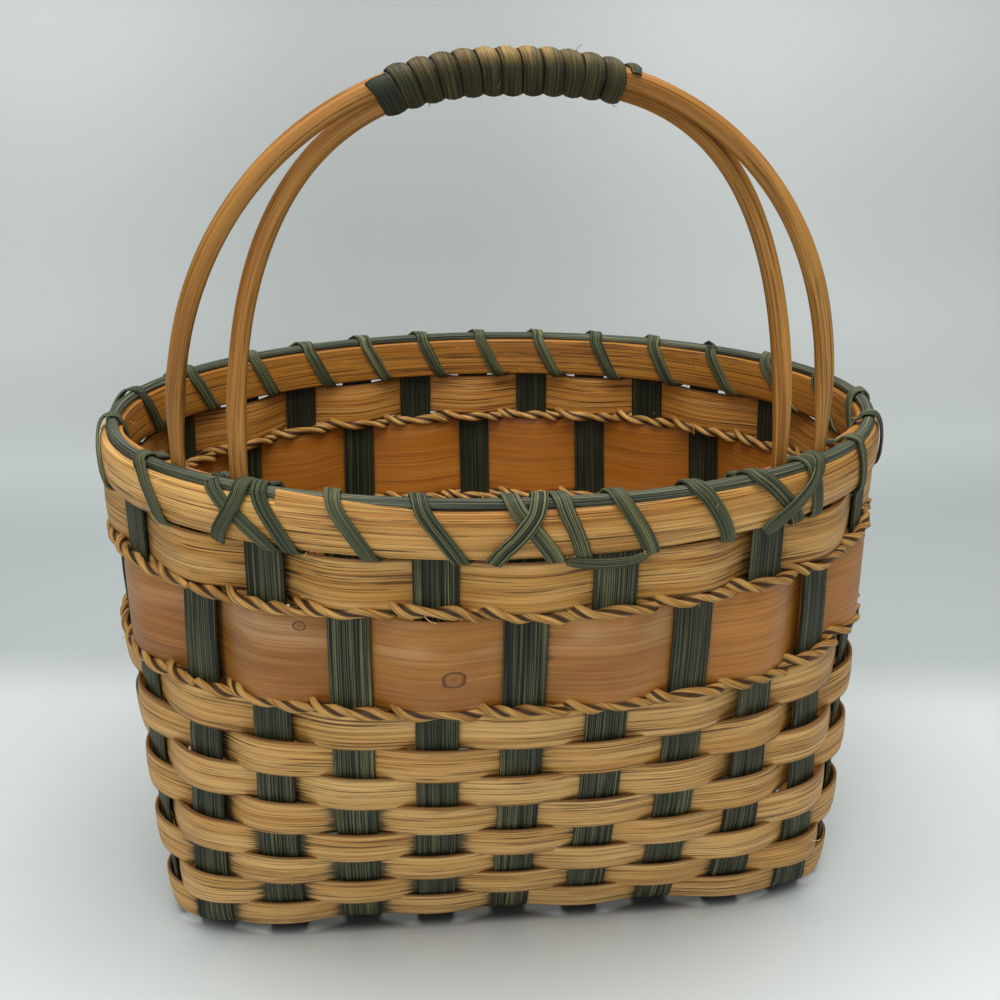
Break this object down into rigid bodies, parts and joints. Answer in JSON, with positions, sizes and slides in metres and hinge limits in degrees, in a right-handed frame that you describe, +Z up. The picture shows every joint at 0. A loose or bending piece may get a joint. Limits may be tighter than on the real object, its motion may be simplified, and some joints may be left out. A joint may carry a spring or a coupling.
{
  "type": "woven wood basket",
  "caption": "Flared basket of plain and dyed flat reed with a rectangular base, oval lashed rim, wide veneer band and a fixed wrapped twin-hoop handle on its front side.",
  "frame": {"origin": "centre of the basket's box on the floor under the base", "axes": "+Z up, the long side with the handle faces -Y, +X along the length"},
  "size_m": [0.265, 0.212, 0.2853],
  "materials": {
    "plain_reed": "satin",
    "dyed_reed": "matte",
    "veneer": "satin",
    "rim_wood": "satin",
    "rod_wood": "satin"
  },
  "bodies": {
    "root": {"cross_stake_1": "dyed_reed", "cross_stake_2": "dyed_reed", "cross_stake_3": "dyed_reed", "cross_stake_4": "dyed_reed", "cross_stake_5": "dyed_reed", "cross_stake_6": "dyed_reed", "cross_stake_7": "dyed_reed", "cross_stake_8": "dyed_reed", "cross_stake_9": "dyed_reed", "length_stake_1": "dyed_reed", "length_stake_2": "dyed_reed", "length_stake_3": "dyed_reed", "length_stake_4": "dyed_reed", "weaver_row_1": "plain_reed", "weaver_row_2": "plain_reed", "weaver_row_3": "plain_reed", "weaver_row_4": "plain_reed", "weaver_row_5": "plain_reed", "weaver_row_6": "plain_reed", "weaver_row_7": "plain_reed", "weaver_row_8": "plain_reed", "veneer_band": "veneer", "top_weaver": "plain_reed", "lower_twining_a": "plain_reed", "lower_twining_b": "plain_reed", "upper_twining_a": "plain_reed", "upper_twining_b": "plain_reed", "outer_rim": "rim_wood", "inner_rim": "rim_wood", "rim_filler": "dyed_reed", "rim_lashing_front": "dyed_reed", "rim_lashing_back": "dyed_reed", "cross_tie_1": "dyed_reed", "cross_tie_2": "dyed_reed", "cross_tie_3": "dyed_reed", "outer_hoop": "rod_wood", "inner_hoop": "rod_wood", "grip_wrap": "dyed_reed"}
  },
  "joints": []
}
